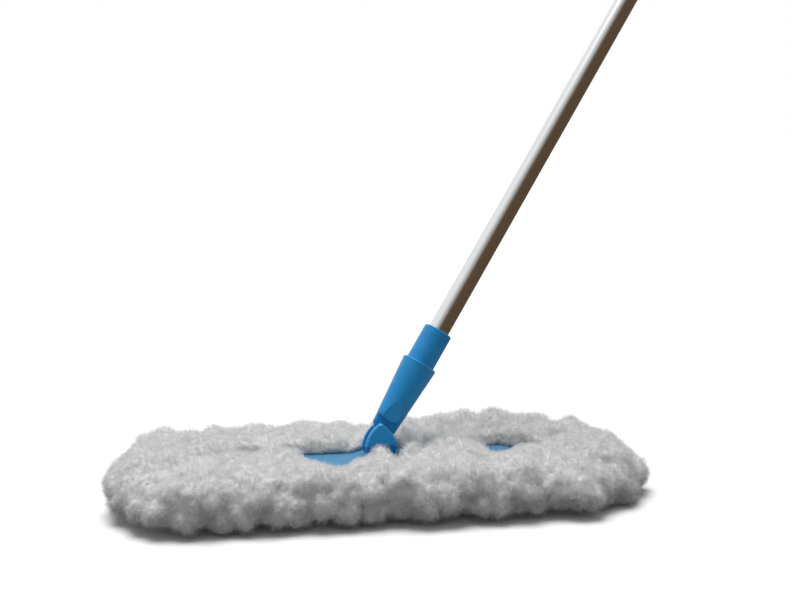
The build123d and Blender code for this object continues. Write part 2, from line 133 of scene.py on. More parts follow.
finish_nodes(scuffed_and_shaded, ["frame_board", "hinge_block"])

# Four bracket screws, both knuckle pins and the ferrule screw.
# Cold headed steel with bright zinc plating, driven, pressed or pushed into the plastic.
STEEL_PIECES = ("bracket_screws", "tilt_pin", "swing_pin", "ferrule_screw")
ZINC_SPANGLE = 0.0015
zinc_steel, tree, shader = start_material("zinc plated steel")
place = add_node(tree, "ShaderNodeTexCoord").outputs["Object"]
spangle = add_node(tree, "ShaderNodeTexNoise", {"Vector": place, "Scale": 1 / ZINC_SPANGLE, "Detail": 3.0})
tone = add_node(tree, "ShaderNodeValToRGB", {"Fac": spangle.outputs["Fac"]})
tone.color_ramp.elements[0].color = linear("#A9ADB0")
tone.color_ramp.elements[1].color = linear("#D2D4D6")
gloss = add_node(tree, "ShaderNodeMapRange", {
    "Value": spangle.outputs["Fac"], "To Min": 0.22, "To Max": 0.42})
tree.links.new(tone.outputs["Color"], shader.inputs["Base Color"])
tree.links.new(gloss.outputs["Result"], shader.inputs["Roughness"])
shader.inputs["Metallic"].default_value = 1.0
finish_nodes(zinc_steel, STEEL_PIECES)

# Friction washers at the lug and at the tongue.
# Stamped from natural nylon sheet, slightly waxy and a little yellowed, held by the pins.
WASHER_PIECES = ("tilt_washers", "swing_washers")
WASHER_CLOUD = 0.004
nylon, tree, shader = start_material("natural nylon sheet")
place = add_node(tree, "ShaderNodeTexCoord").outputs["Object"]
cloud = add_node(tree, "ShaderNodeTexNoise", {"Vector": place, "Scale": 1 / WASHER_CLOUD, "Detail": 2.0})
tone = add_node(tree, "ShaderNodeValToRGB", {"Fac": cloud.outputs["Fac"]})
tone.color_ramp.elements[0].color = linear("#D8D5C8")
tone.color_ramp.elements[1].color = linear("#E9E7DE")
tree.links.new(tone.outputs["Color"], shader.inputs["Base Color"])
shader.inputs["Roughness"].default_value = 0.5
shader.inputs["IOR"].default_value = 1.53
finish_nodes(nylon, WASHER_PIECES)

# Pole: a drawn aluminium tube, satin anodised, pushed into the ferrule and screwed there.
# Fine drawing lines run along it, so its reflection is streaked lengthwise.
# The lines are 0.1 mm apart on the real tube and drawn 0.8 mm apart to show.
LEAN_BACK = radians(14)
LEAN_RIGHT = radians(32)
DRAW_LINE = 0.0008
DRAW_LENGTH = 0.25
anodised, tree, shader = start_material("satin anodised aluminium")
place = add_node(tree, "ShaderNodeTexCoord").outputs["Object"]
pole_lean = Matrix.Rotation(-LEAN_BACK, 3, "X") @ Matrix.Rotation(LEAN_RIGHT, 3, "Y")
upright = add_node(tree, "ShaderNodeMapping", {
    "Vector": place, "Rotation": pole_lean.inverted().to_euler("XYZ")})
stretch = add_node(tree, "ShaderNodeMapping", {
    "Vector": upright.outputs["Vector"], "Scale": (1 / DRAW_LINE, 1 / DRAW_LINE, 1 / DRAW_LENGTH)})
streak = add_node(tree, "ShaderNodeTexNoise", {
    "Vector": stretch.outputs["Vector"], "Scale": 1.0, "Detail": 2.0})
tone = add_node(tree, "ShaderNodeValToRGB", {"Fac": streak.outputs["Fac"]})
tone.color_ramp.elements[0].position = 0.3
tone.color_ramp.elements[0].color = linear("#D8DCDC")
tone.color_ramp.elements[1].position = 0.7
tone.color_ramp.elements[1].color = linear("#E4E8E8")
gloss = add_node(tree, "ShaderNodeMapRange", {
    "Value": streak.outputs["Fac"], "From Min": 0.3, "From Max": 0.7, "To Min": 0.17, "To Max": 0.23})
tree.links.new(tone.outputs["Color"], shader.inputs["Base Color"])
tree.links.new(gloss.outputs["Result"], shader.inputs["Roughness"])
shader.inputs["Metallic"].default_value = 1.0
finish_nodes(anodised, ["pole_tube"])

# Ground of the pile: three knitted panels, one under the board and two above it, filled out
# by their own dense yarn. They are sewn together round the rim, so each takes the place of
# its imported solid, in lumps and swells as the yarn mats together.
BOARD_TOP = 0.046
BOARD_HALF = (0.256, 0.056)
FLOOR_ROOM = 0.0006
VOXEL = 0.0023
LUMP_SIZE = 0.027
LUMP_HEIGHT = 0.0115
KNOT_SIZE = 0.0115
KNOT_HEIGHT = 0.0046
SWELL_SIZE = 0.085
SWELL_HEIGHT = 0.0120
# Share of its lumps that the yarn has where the floor presses it, least share near the board, and
# the rise above the board at which the lumps are full. Faces are told by how far they point up.
PRESSED_SHARE = 0.4
LEAST_SHARE = 0.06
FULL_LUMP_RISE = 0.013
FLOOR_FACE = -0.6
TOP_FACE = (0.3, 0.8)
SOFTEN_SHARE = 0.5
SOFTEN_TIMES = 8
# The panels are drawn in by what their lumps and fibres add, and undercut above the floor.
TOP_INSET = 0.0085
INNER_INSET = 0.8
SOLE_INSET = 0.0035
RIM_INSET = 0.0105
END_INSET = 0.0140
UNDERCUT = 0.0070
LEFT_UNDERCUT = 0.0240
SEAM_LEVEL = 0.0365
SEAM_OVERLAP = 0.008
# Where each of these starts and is full: off the board, above the floor, along x and along y.
RIM_BAND = (0.002, 0.016)
SOLE_BAND = (0.0, 0.020)
UNDERCUT_BAND = (0.0, 0.024)
CROWN_BAND = (SEAM_LEVEL, 0.055)
SEAM_BAND = (SEAM_LEVEL, SEAM_LEVEL + 0.014)
UNDERCUT_ENDS = (0.200, 0.290)
INSET_ENDS = (0.180, 0.290)
SIDE_BAND = (0.030, 0.105)
# The right end and both front corners lie lower: share of the height, and its start and end along x.
RIGHT_FALL = (0.27, 0.235, 0.300)
FRONT_LEFT_FALL = (0.20, 0.190, 0.270)
FRONT_RIGHT_FALL = (0.22, 0.120, 0.240)
FRONT_BAND = (0.040, 0.105)
# Corners that the yarn rounds off: their side along x and y, pull, and its start and end along x.
CORNERS = ((1, 1, 0.018, 0.190, 0.285), (-1, -1, 0.016, 0.220, 0.285), (1, -1, 0.016, 0.180, 0.250))
CORNER_BAND = (0.030, 0.100)


def link(name, mesh):
    """An object at the origin for a finished mesh."""
    made = bpy.data.objects.new(name, mesh)
    bpy.context.scene.collection.objects.link(made)
    return made


def frozen(source):
    """Plain mesh of an object with its modifiers worked in, after which the object goes."""
    graph = bpy.context.evaluated_depsgraph_get()
    mesh = bpy.data.meshes.new_from_object(source.evaluated_get(graph), depsgraph=graph)
    bpy.data.objects.remove(source)
    return mesh


def table(items, field):
    """Vectors of mesh points or normals as rows."""
    rows = np.empty(len(items) * 3)
    items.foreach_get(field, rows)
    return rows.reshape(-1, 3)


def smooth_step(low, high, value):
    """Eased 0 to 1 between two values."""
    share = np.clip((value - low) / (high - low), 0, 1)
    return share * share * (3 - 2 * share)


def set_inputs(modifier, **values):
    """Sets a modifier's inputs, named with underscores for spaces, by their identifiers."""
    for item in modifier.node_group.interface.items_tree:
        key = item.name.replace(" ", "_")
        if item.in_out == "INPUT" and key in values:
            modifier[item.identifier] = values[key]


lumps = bpy.data.node_groups.new("matted lumps", "GeometryNodeTree")
lumps.interface.new_socket("Geometry", in_out="INPUT", socket_type="NodeSocketGeometry")
for label in ("Lump size", "Lump height", "Knot size", "Knot height", "Swell size", "Swell height"):
    lumps.interface.new_socket(label, in_out="INPUT", socket_type="NodeSocketFloat")
lumps.interface.new_socket("Geometry", in_out="OUTPUT", socket_type="NodeSocketGeometry")
given = add_node(lumps, "NodeGroupInput").outputs
spot = add_node(lumps, "GeometryNodeInputPosition").outputs["Position"]
rise = None
for label in ("Lump", "Knot"):
    rate = add_node(lumps, "ShaderNodeMath", {0: 1.0, 1: given[label + " size"]}, operation="DIVIDE")
    cells = add_node(lumps, "ShaderNodeTexVoronoi", {
        "Vector": spot, "Scale": rate.outputs[0], "Smoothness": 0.35}, feature="SMOOTH_F1")
    rounds = add_node(lumps, "ShaderNodeMapRange", {
        "Value": cells.outputs["Distance"], "From Min": 0.1, "From Max": 0.75, "To Min": 1.0, "To Max": 0.0})
    rise = add_node(lumps, "ShaderNodeMath", {
        0: rounds.outputs["Result"], 1: given[label + " height"], 2: rise.outputs[0] if rise else 0.0},
        operation="MULTIPLY_ADD")
rate = add_node(lumps, "ShaderNodeMath", {0: 1.0, 1: given["Swell size"]}, operation="DIVIDE")
swell = add_node(lumps, "ShaderNodeTexNoise", {"Vector": spot, "Scale": rate.outputs[0], "Detail": 1.0})
centred = add_node(lumps, "ShaderNodeMath", {0: swell.outputs["Fac"], 1: 0.5}, operation="SUBTRACT")
rise = add_node(lumps, "ShaderNodeMath", {
    0: centred.outputs[0], 1: given["Swell height"], 2: rise.outputs[0]}, operation="MULTIPLY_ADD")
free = add_node(lumps, "GeometryNodeInputNamedAttribute", {"Name": "free"}, data_type="FLOAT")
offset = add_node(lumps, "ShaderNodeMath", {
    0: rise.outputs[0], 1: free.outputs["Attribute"]}, operation="MULTIPLY")
normal = add_node(lumps, "GeometryNodeInputNormal").outputs["Normal"]
move = add_node(lumps, "ShaderNodeVectorMath", {0: normal, "Scale": offset.outputs[0]}, operation="SCALE")
moved = add_node(lumps, "GeometryNodeSetPosition", {
    "Geometry": given["Geometry"], "Offset": move.outputs["Vector"]})
add_node(lumps, "NodeGroupOutput", {"Geometry": moved.outputs["Geometry"]})


def fall(drop, along):
    """Share of the height that is lost along x."""
    most, start, full = drop
    return most * smooth_step(start, full, along)


def ground_panel(name, node):
    """A packed soft solid as an even mesh with lumps on its free faces."""
    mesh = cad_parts[node].data.copy()
    shape = bmesh.new()
    shape.from_mesh(mesh)
    bmesh.ops.remove_doubles(shape, verts=shape.verts, dist=1e-6)
    shape.to_mesh(mesh)
    shape.free()
    rough = link("rough", mesh)
    even = rough.modifiers.new("even", "REMESH")
    even.mode = "VOXEL"
    even.voxel_size = VOXEL
    soften = rough.modifiers.new("soften", "SMOOTH")
    soften.factor = SOFTEN_SHARE
    soften.iterations = SOFTEN_TIMES
    mesh = frozen(rough)
    spots, normals = table(mesh.vertices, "co"), table(mesh.vertex_normals, "vector")
    x, y, z = spots.T
    up = normals[:, 2]
    out = np.maximum(abs(x) - BOARD_HALF[0], abs(y) - BOARD_HALF[1])
    rim = smooth_step(*RIM_BAND, out)
    if node == "sole_panel":
        free = np.where(up < FLOOR_FACE, PRESSED_SHARE, rim * (1 - smooth_step(*TOP_FACE, up)))
        low = 1 - smooth_step(*UNDERCUT_BAND, z)
        x -= UNDERCUT * low * smooth_step(*UNDERCUT_ENDS, x)
        x += LEFT_UNDERCUT * low * smooth_step(*UNDERCUT_ENDS, -x)
        y -= UNDERCUT * np.sign(y) * low * smooth_step(*SIDE_BAND, abs(y))
        z += SOLE_INSET * (1 - smooth_step(*SOLE_BAND, z))
    else:
        room = np.clip((z - BOARD_TOP) / FULL_LUMP_RISE, LEAST_SHARE, 1.0) * (up > 0)
        free = np.maximum(rim, room)
        z -= TOP_INSET * (rim * smooth_step(*CROWN_BAND, z) + room * (1 - rim) * INNER_INSET)
        z -= SEAM_OVERLAP * rim * (1 - smooth_step(*SEAM_BAND, z))
    z *= 1 - fall(RIGHT_FALL, x)
    ends = fall(FRONT_LEFT_FALL, -x) + fall(FRONT_RIGHT_FALL, x)
    z *= 1 - ends * smooth_step(*FRONT_BAND, -y)
    x -= END_INSET * np.sign(x) * smooth_step(*INSET_ENDS, abs(x))
    y -= RIM_INSET * np.sign(y) * smooth_step(*SIDE_BAND, abs(y))
    for end, side, pull, start, full in CORNERS:
        y -= side * pull * smooth_step(*CORNER_BAND, side * y) * smooth_step(start, full, end * x)
    mesh.vertices.foreach_set("co", spots.ravel())
    mesh.attributes.new("free", "FLOAT", "POINT").data.foreach_set("value", free)
    rough = link("rough", mesh)
    matted = rough.modifiers.new("matted", "NODES")
    matted.node_group = lumps
    set_inputs(matted, Lump_size=LUMP_SIZE, Lump_height=LUMP_HEIGHT, Knot_size=KNOT_SIZE,
               Knot_height=KNOT_HEIGHT, Swell_size=SWELL_SIZE, Swell_height=SWELL_HEIGHT)
    mesh = frozen(rough)
    mesh.polygons.foreach_set("use_smooth", [True] * len(mesh.polygons))
    mesh.materials.clear()
    return link(name, mesh)


# Knitted ground with matted yarn: dull, soft, slightly uneven white.
YARN_PATCH = 0.006
matted_yarn, tree, shader = start_material("matted acrylic yarn")
place = add_node(tree, "ShaderNodeTexCoord").outputs["Object"]
patch = add_node(tree, "ShaderNodeTexNoise", {"Vector": place, "Scale": 1 / YARN_PATCH, "Detail": 4.0})
tone = add_node(tree, "ShaderNodeValToRGB", {"Fac": patch.outputs["Fac"]})
tone.color_ramp.elements[0].position = 0.3
tone.color_ramp.elements[0].color = linear("#CFCFCE")
tone.color_ramp.elements[1].position = 0.7
tone.color_ramp.elements[1].color = linear("#E2E2E1")
bump = add_node(tree, "ShaderNodeBump", {
    "Height": patch.outputs["Fac"], "Strength": 0.5, "Distance": 0.0015})
tree.links.new(tone.outputs["Color"], shader.inputs["Base Color"])
tree.links.new(bump.outputs["Normal"], shader.inputs["Normal"])
shader.inputs["Roughness"].default_value = 0.95
shader.inputs["Sheen Weight"].default_value = 0.3

# Each swell or hollow of the yarn: centre x and y, reach and height. The first in front is the hill
# before the knuckle, and the first two behind make room for the socket when it swings low.
SWELLS = {
    "front": (
        (-0.003, -0.031, 0.0120, 0.0165), (-0.022, -0.034, 0.009, -0.013),
        (0.012, -0.036, 0.008, -0.013), (0.046, -0.016, 0.012, -0.016),
        (0.069, -0.022, 0.016, 0.006), (0.085, -0.040, 0.030, 0.003),
        (-0.130, -0.036, 0.045, 0.004),
    ),
    "rear": (
        (0.050, 0.026, 0.013, -0.021), (0.035, 0.030, 0.014, -0.011),
        (-0.055, 0.060, 0.030, 0.003),
    ),
}
# Rise of the rear crest along x.
REAR_CREST = (
    (-0.295, -0.275, -0.255, -0.230, -0.190, -0.160, -0.140, -0.122, -0.103, -0.084, -0.065, -0.046,
     0.000, 0.050, 0.069, 0.089, 0.108, 0.146, 0.165, 0.184, 0.199, 0.217, 0.234, 0.252, 0.294),
    (0.009, 0.011, 0.006, 0.001, -0.002, 0.005, 0.005, -0.004, 0.004, 0.006, 0.007, -0.001,
     0.000, 0.003, 0.008, 0.010, 0.013, 0.013, 0.010, 0.004, 0.003, -0.002, -0.002, -0.001, -0.003),
)
CREST_BAND = (0.045, 0.085)
# Lips of the slit as the yarn pulls them, x and y, with the side of the slit that each lies on.
# They gape left of the knuckle and 130 mm right of it.
SLIT_HALF = (0.175, 0.024)
SLIT_END = (0.165, 0.185)
LIP_EASE = 0.006
LIP_ROOM = 0.0002
LIP_PULL = 0.070
LIP_LAID = (0.010, 0.022)
LEAST_THICK = 0.0022
UPPER_BAND = (BOARD_TOP, BOARD_TOP + 0.004)
UNDER_FACE = (-0.2, 0.4)
LIPS = {
    "front": (((-0.175, -0.095, -0.086, -0.066, -0.052, -0.042, -0.031, -0.026,
                -0.021, 0.022, 0.032, 0.110, 0.117, 0.141, 0.148, 0.175),
               (0.000, 0.004, -0.008, -0.028, -0.050, -0.046, -0.018, -0.006,
                -0.022, -0.024, -0.010, 0.002, -0.018, -0.010, 0.000, 0.000)), -1),
    "rear": (((-0.175, -0.095, -0.085, -0.026, -0.020, 0.020, 0.030, 0.110, 0.117, 0.141, 0.148, 0.175),
              (0.004, 0.006, 0.007, 0.009, 0.023, 0.023, 0.012, 0.008, 0.010, 0.019, 0.004, 0.002)), 1),
}
# Middle and half length of each gape, where the yarn lies low enough to show the board, and for each
# flap how the gape runs out, how high the yarn starts at the lip, how it rises, and how far back.
GAPES = ((-0.055, 0.030), (0.129, 0.014))
GAPE_BANKS = {"front": (0.010, 0.001, 0.27, 0.09), "rear": (0.020, 0.003, 0.55, 0.06)}


def eased(x, lip):
    """A lip's place along x, with its corners rounded off."""
    return np.mean([np.interp(x + s, *lip) for s in np.linspace(-LIP_EASE, LIP_EASE, 9)], axis=0)


def lip_shift(x, lip, way):
    """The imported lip's place, and how far the lip lies from it."""
    packed = way * SLIT_HALF[1] * np.clip(1 - (x / SLIT_HALF[0]) ** 2, 0, 1)
    return packed, (eased(x, lip) - packed) * (1 - smooth_step(*SLIT_END, abs(x)))


PANELS = {"sole": "sole_panel", "front": "front_flap", "rear": "rear_flap"}
grounds = {}
for panel, node in PANELS.items():
    ground = ground_panel(panel + "_ground", node)
    spots = table(ground.data.vertices, "co")
    x, y, z = spots.T
    if panel in LIPS:
        lip, way = LIPS[panel]
        upper = smooth_step(*UPPER_BAND, z)
        below = 1 - smooth_step(*UNDER_FACE, table(ground.data.vertex_normals, "vector")[:, 2])
        for mid_x, mid_y, reach, height in SWELLS[panel]:
            z += height * np.exp(-((x - mid_x) ** 2 + (y - mid_y) ** 2) / reach ** 2) * upper
        packed, shift = lip_shift(x, lip, way)
        y += shift * smooth_step(-LIP_PULL, 0.0, way * (packed - y))
        if panel == "rear":
            z += np.interp(x, *REAR_CREST) * smooth_step(*CREST_BAND, y) * upper
        back = way * (y - eased(x, lip))
        margin, start, slope, depth = GAPE_BANKS[panel]
        for middle, half in GAPES:
            share = 1 - smooth_step(half, half + margin, abs(x - middle))
            roof = BOARD_TOP + start + slope * np.maximum(back, 0)
            z -= share * np.maximum(z - roof, 0) * (way * y < depth)
        laid = (1 - smooth_step(*LIP_LAID, back)) * below
        z -= laid * np.maximum(z - BOARD_TOP - LIP_ROOM, 0)
        bed = BOARD_TOP + LIP_ROOM + LEAST_THICK * upper * (1 - below)
        over_board = (abs(x) < BOARD_HALF[0]) & (abs(y) < BOARD_HALF[1])
        spots[:, 2] = np.where(over_board, np.maximum(z, bed), z)
    spots[:, 2] = np.maximum(spots[:, 2], FLOOR_ROOM)
    ground.data.vertices.foreach_set("co", spots.ravel())
    ground.data.update()
    ground.data.materials.append(matted_yarn)
    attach(ground, "head")
    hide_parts(node)
    grounds[panel] = ground

# Hem tapes: a woven polyester tape, 19 mm wide, folded over each lip of the slit and sewn
# through with a running stitch. The yarn hides most of it, and the fold shows at the board.
TAPE_HALF = 0.0012
TAPE_THICK = 0.0005
TAPE_FOLDED = 0.0090
TAPE_CUT = 0.0190
TAPE_LEVEL = BOARD_TOP + 0.0004 + TAPE_HALF
TAPE_BACK = 0.0090
TAPE_TUCK = 0.0080
TAPE_END = 0.170
TAPE_STEP = 0.004
STITCH_PITCH = 0.0032
STITCH_LENGTH = 0.0022
STITCH_RADIUS = 0.00035
STITCH_INSET = 0.0068

# Woven tape: matt white with fine ribs across it, 0.6 mm apart. The wave texture has 20 / (2 pi)
# bands to the metre at scale 1, so its scale is worked out from that pitch.
TAPE_RIB = 0.0006
woven, tree, shader = start_material("woven polyester tape")
strip = add_node(tree, "ShaderNodeUVMap", uv_map="tape")
ribs = add_node(tree, "ShaderNodeTexWave", {
    "Vector": strip.outputs["UV"], "Scale": 1 / TAPE_RIB / 20 * 2 * pi, "Distortion": 0.6, "Detail": 1.0})
tone = add_node(tree, "ShaderNodeValToRGB", {"Fac": ribs.outputs["Fac"]})
tone.color_ramp.elements[0].color = linear("#CFCFD1")
tone.color_ramp.elements[1].color = linear("#E9E9EA")
bump = add_node(tree, "ShaderNodeBump", {"Height": ribs.outputs["Fac"], "Strength": 0.5, "Distance": 0.0003})
tree.links.new(tone.outputs["Color"], shader.inputs["Base Color"])
tree.links.new(bump.outputs["Normal"], shader.inputs["Normal"])
shader.inputs["Roughness"].default_value = 0.85

# Sewing thread: spun polyester, white, with a slight twist to be seen in its shade.
TWIST = 0.0006
thread, tree, shader = start_material("spun polyester thread")
place = add_node(tree, "ShaderNodeTexCoord").outputs["Object"]
ply = add_node(tree, "ShaderNodeTexWave", {
    "Vector": place, "Scale": 1 / TWIST / 20 * 2 * pi, "Distortion": 1.0}, bands_direction="DIAGONAL")
tone = add_node(tree, "ShaderNodeValToRGB", {"Fac": ply.outputs["Fac"]})
tone.color_ramp.elements[0].color = linear("#C6C6C8")
tone.color_ramp.elements[1].color = linear("#E4E4E6")
tree.links.new(tone.outputs["Color"], shader.inputs["Base Color"])
shader.inputs["Roughness"].default_value = 0.7

sewing = bpy.data.node_groups.new("running stitch", "GeometryNodeTree")
sewing.interface.new_socket("Geometry", in_out="INPUT", socket_type="NodeSocketGeometry")
for label in ("Pitch", "Length", "Radius"):
    sewing.interface.new_socket(label, in_out="INPUT", socket_type="NodeSocketFloat")
sewing.interface.new_socket("Thread", in_out="INPUT", socket_type="NodeSocketMaterial")
sewing.interface.new_socket("Geometry", in_out="OUTPUT", socket_type="NodeSocketGeometry")
given = add_node(sewing, "NodeGroupInput").outputs
line = add_node(sewing, "GeometryNodeMeshToCurve", {"Mesh": given["Geometry"]})
evenly = add_node(sewing, "GeometryNodeCurveToPoints", {
    "Curve": line.outputs["Curve"], "Length": given["Pitch"]}, mode="LENGTH")
half = add_node(sewing, "ShaderNodeMath", {0: given["Length"], 1: 0.5}, operation="MULTIPLY")
thick = add_node(sewing, "ShaderNodeCombineXYZ", {
    "X": given["Radius"], "Y": given["Radius"], "Z": half.outputs[0]})
bead = add_node(sewing, "GeometryNodeMeshUVSphere", {"Segments": 6, "Rings": 4, "Radius": 1.0})
lying = add_node(sewing, "FunctionNodeAlignRotationToVector", {"Vector": evenly.outputs["Tangent"]}, axis="Z")
sewn = add_node(sewing, "GeometryNodeInstanceOnPoints", {
    "Points": evenly.outputs["Points"], "Instance": bead.outputs["Mesh"],
    "Rotation": lying.outputs["Rotation"], "Scale": thick.outputs["Vector"]})
real = add_node(sewing, "GeometryNodeRealizeInstances", {"Geometry": sewn.outputs["Instances"]})
dyed = add_node(sewing, "GeometryNodeSetMaterial", {
    "Geometry": real.outputs["Geometry"], "Material": given["Thread"]})
add_node(sewing, "NodeGroupOutput", {"Geometry": dyed.outputs["Geometry"]})


def tape_section():
    """Outline of the folded tape, its fold at nought: distance in from the fold, and height."""
    rows = []
    for gap, order in ((TAPE_HALF, 1), (TAPE_HALF - TAPE_THICK, -1)):
        arc = [(TAPE_HALF - gap * sin(a), gap * cos(a)) for a in np.linspace(0, pi, 7)]
        side = [(TAPE_FOLDED, gap), *arc, (TAPE_FOLDED, -gap)]
        rows += side[::order]
    return rows


def tucked(x, lip, way):
    """Fold line of a tape, which lies back from every bend of its lip."""
    reach = np.linspace(-TAPE_TUCK, TAPE_TUCK, 13)
    deepest = [np.max([way * eased(x + near + s, lip) for s in reach], axis=0) for near in reach]
    return way * (np.mean(deepest, axis=0) + TAPE_BACK)


for panel, (lip, way) in LIPS.items():
    along = np.arange(-TAPE_END, TAPE_END + 1e-6, TAPE_STEP)
    fold = tucked(along, lip, way)
    section = tape_section()
    shape = bmesh.new()
    mapped = shape.loops.layers.uv.new("tape")
    rings = []
    for here, edge in zip(along, fold):
        rings.append([
            shape.verts.new((here, edge + way * inward, TAPE_LEVEL + up)) for inward, up in section])
    for number, (ring, after) in enumerate(zip(rings, rings[1:])):
        for i in range(len(section)):
            j = (i + 1) % len(section)
            face = shape.faces.new((ring[i], ring[j], after[j], after[i]))
            u = [(number + k) * TAPE_STEP for k in (0, 0, 1, 1)]
            v = [k / len(section) * 2 * TAPE_CUT for k in (i, i + 1, i + 1, i)]
            for loop, place in zip(face.loops, zip(u, v)):
                loop[mapped].uv = place
            face.smooth = True
    for ring in (rings[0], rings[-1]):
        shape.faces.new(ring)
    bmesh.ops.recalc_face_normals(shape, faces=shape.faces)
    mesh = bpy.data.meshes.new(panel + "_tape")
    shape.to_mesh(mesh)
    shape.free()
    tape = link(panel + "_tape", mesh)
    mesh.materials.append(woven)
    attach(tape, "head")
    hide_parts(panel + "_hem")
    seam = bpy.data.meshes.new("seam")
    level = TAPE_LEVEL + TAPE_HALF
    spots = [(here, edge + way * STITCH_INSET, level) for here, edge in zip(along, fold)]
    seam.from_pydata(spots, [(i, i + 1) for i in range(len(spots) - 1)], [])
    line = link("seam", seam)
    sew = line.modifiers.new("sew", "NODES")
    sew.node_group = sewing
    set_inputs(sew, Pitch=STITCH_PITCH, Length=STITCH_LENGTH, Radius=STITCH_RADIUS, Thread=thread)
    stitches = link(panel + "_stitches", frozen(line))
    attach(stitches, "head")

# Pile: crimped acrylic fibres that stand on the ground in small tufts, held by its knit.
# Each tuft is five thin fibres from one root. They lean and curl with their neighbours,
# hang down a little on the sides and are pressed flat where they touch the floor.
FIBRE_LENGTH = 0.0066
FIBRE_THICK = 0.00013
TUFT_SPREAD = 0.0022
TUFT_KINDS = 4
TUFT_FIBRES = 5
TUFT_GAP = 0.00193
TUFT_DENSITY = 250000.0
# A fibre bends out at its middle and curls over at its tip, in shares of its length.
ROOT_RANGE = (0.1, 1.0)
LENGTH_RANGE = (0.6, 1.2)
BEND_THIN = 0.9
BEND_HEIGHT = 0.48
BEND_OUT = 0.34
TIP_HEIGHT = 0.80
TIP_OUT = 0.02
TIP_CURL = 0.55
# Each fibre's strip of the map: its margin and width in shares of a column, and its levels, which carry the
# painted shade from root to tip.
STRIP_MARGIN = 0.1
STRIP_WIDTH = 0.8
BASE_LEVEL = 0.02
ROOT_LEVEL = 0.03
BEND_LEVEL = 0.55
TIP_LEVEL = 0.99


def tuft_mesh(kind):
    """Five bent three-sided fibres, each with its own strip of the map: root low, tip high."""
    draw = random.Random(100 + kind)
    shape = bmesh.new()
    strips = shape.loops.layers.uv.new("OFBake")
    columns = TUFT_KINDS * TUFT_FIBRES
    for number in range(TUFT_FIBRES):
        turn = 2 * pi * (number + draw.random()) / TUFT_FIBRES
        root = Vector((cos(turn), sin(turn), 0)) * TUFT_SPREAD * draw.uniform(*ROOT_RANGE)
        length = FIBRE_LENGTH * draw.uniform(*LENGTH_RANGE)
        bend = 2 * pi * draw.random()
        side = Vector((cos(bend), sin(bend), 0))
        curl = side.cross(Vector((0, 0, 1))) * draw.uniform(-1, 1)
        middle = root + Vector((0, 0, BEND_HEIGHT * length)) + BEND_OUT * length * side
        tip = root + Vector((0, 0, TIP_HEIGHT * length)) + (TIP_OUT * side + TIP_CURL * curl) * length
        rings = []
        for centre, thick in ((root, FIBRE_THICK), (middle, BEND_THIN * FIBRE_THICK)):
            corners = [centre + thick * Vector((cos(a), sin(a), 0)) for a in (0, 2 * pi / 3, 4 * pi / 3)]
            rings.append([shape.verts.new(corner) for corner in corners])
        point = shape.verts.new(tip)
        left = (kind * TUFT_FIBRES + number + STRIP_MARGIN) / columns
        step = STRIP_WIDTH / columns / 3
        base = shape.faces.new(rings[0][::-1])
        for loop, place in zip(base.loops, ((left, 0.0), (left + step, 0.0), (left, BASE_LEVEL))):
            loop[strips].uv = place
        for i in range(3):
            j = (i + 1) % 3
            low, high = left + i * step, left + (i + 1) * step
            wall = shape.faces.new((rings[0][i], rings[0][j], rings[1][j], rings[1][i]))
            corners = ((low, ROOT_LEVEL), (high, ROOT_LEVEL), (high, BEND_LEVEL), (low, BEND_LEVEL))
            for loop, place in zip(wall.loops, corners):
                loop[strips].uv = place
            end = shape.faces.new((rings[1][i], rings[1][j], point))
            corners = ((low, BEND_LEVEL), (high, BEND_LEVEL), ((low + high) / 2, TIP_LEVEL))
            for loop, place in zip(end.loops, corners):
                loop[strips].uv = place
    mesh = bpy.data.meshes.new(f"tuft_{kind}")
    shape.to_mesh(mesh)
    shape.free()
    return mesh


tufts = bpy.data.collections.new("tufts")
for kind in range(TUFT_KINDS):
    tufts.objects.link(bpy.data.objects.new(f"tuft_{kind}", tuft_mesh(kind)))

# Crimped acrylic fibre: white and dull with a soft sheen, painted a little greyer towards the root as shade
# deep in the pile.
# Light scatters through the thin fibres, so the pile looks soft and its hollows stay pale.
fibre, tree, shader = start_material("crimped acrylic fibre")
strip = add_node(tree, "ShaderNodeUVMap", uv_map="OFBake")
split = add_node(tree, "ShaderNodeSeparateXYZ", {"Vector": strip.outputs["UV"]})
# Painted shade: the ramp along each fibre's strip darkens it from tip to root.
tone = add_node(tree, "ShaderNodeValToRGB", {"Fac": split.outputs["Y"]})
tone.color_ramp.elements[0].position = 0.0
tone.color_ramp.elements[0].color = linear("#D2D2D1")
tone.color_ramp.elements[1].position = 0.75
tone.color_ramp.elements[1].color = linear("#E6E6E5")
number = add_node(tree, "ShaderNodeMath", {
    0: split.outputs["X"], 1: float(TUFT_KINDS * TUFT_FIBRES)}, operation="MULTIPLY")
whole = add_node(tree, "ShaderNodeMath", {0: number.outputs[0]}, operation="FLOOR")
own = add_node(tree, "ShaderNodeTexWhiteNoise", {"W": whole.outputs[0]}, noise_dimensions="1D")
shade = add_node(tree, "ShaderNodeMapRange", {"Value": own.outputs["Value"], "To Min": 0.92, "To Max": 1.0})
tinted = add_node(tree, "ShaderNodeMix", {
    "Factor": 1.0, 6: tone.outputs["Color"], 7: shade.outputs["Result"]},
    data_type="RGBA", blend_type="MULTIPLY")
tree.links.new(tinted.outputs[2], shader.inputs["Base Color"])
shader.inputs["Roughness"].default_value = 0.85
shader.inputs["Sheen Weight"].default_value = 0.35
shader.inputs["Sheen Roughness"].default_value = 0.6
shader.inputs["Subsurface Weight"].default_value = 1.0
shader.inputs["Subsurface Radius"].default_value = (1.0, 1.0, 1.0)
shader.inputs["Subsurface Scale"].default_value = 0.0015

